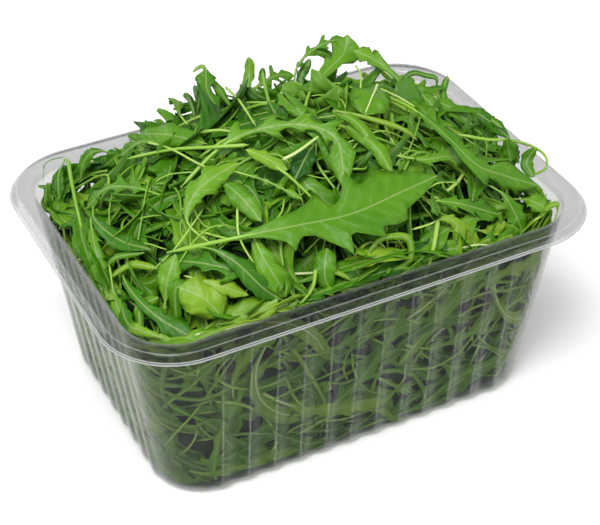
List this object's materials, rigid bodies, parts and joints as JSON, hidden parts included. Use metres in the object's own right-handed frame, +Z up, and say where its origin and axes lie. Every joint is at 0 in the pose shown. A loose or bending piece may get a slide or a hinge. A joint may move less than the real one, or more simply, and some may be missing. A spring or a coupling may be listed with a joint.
{
  "type": "tub of rocket",
  "caption": "Open clear plastic tub with ribbed walls and a flat rim, heaped above the rim with loose rocket leaves.",
  "frame": {"origin": "middle of the tub's flat base, on the surface that it stands on", "axes": "+X along the tub's long side, +Y across it from the front wall to the back wall, +Z up out of the open top"},
  "size_m": [0.187, 0.137, 0.1183],
  "materials": {
    "clear_plastic": "clear thin thermoformed plastic, glossy, faintly grey, with bright edges",
    "leaf_green": "fresh rocket leaves, satin mid green with paler midribs and stalks"
  },
  "bodies": {
    "root": {"tub": "clear_plastic", "rocket": "leaf_green"}
  },
  "joints": []
}
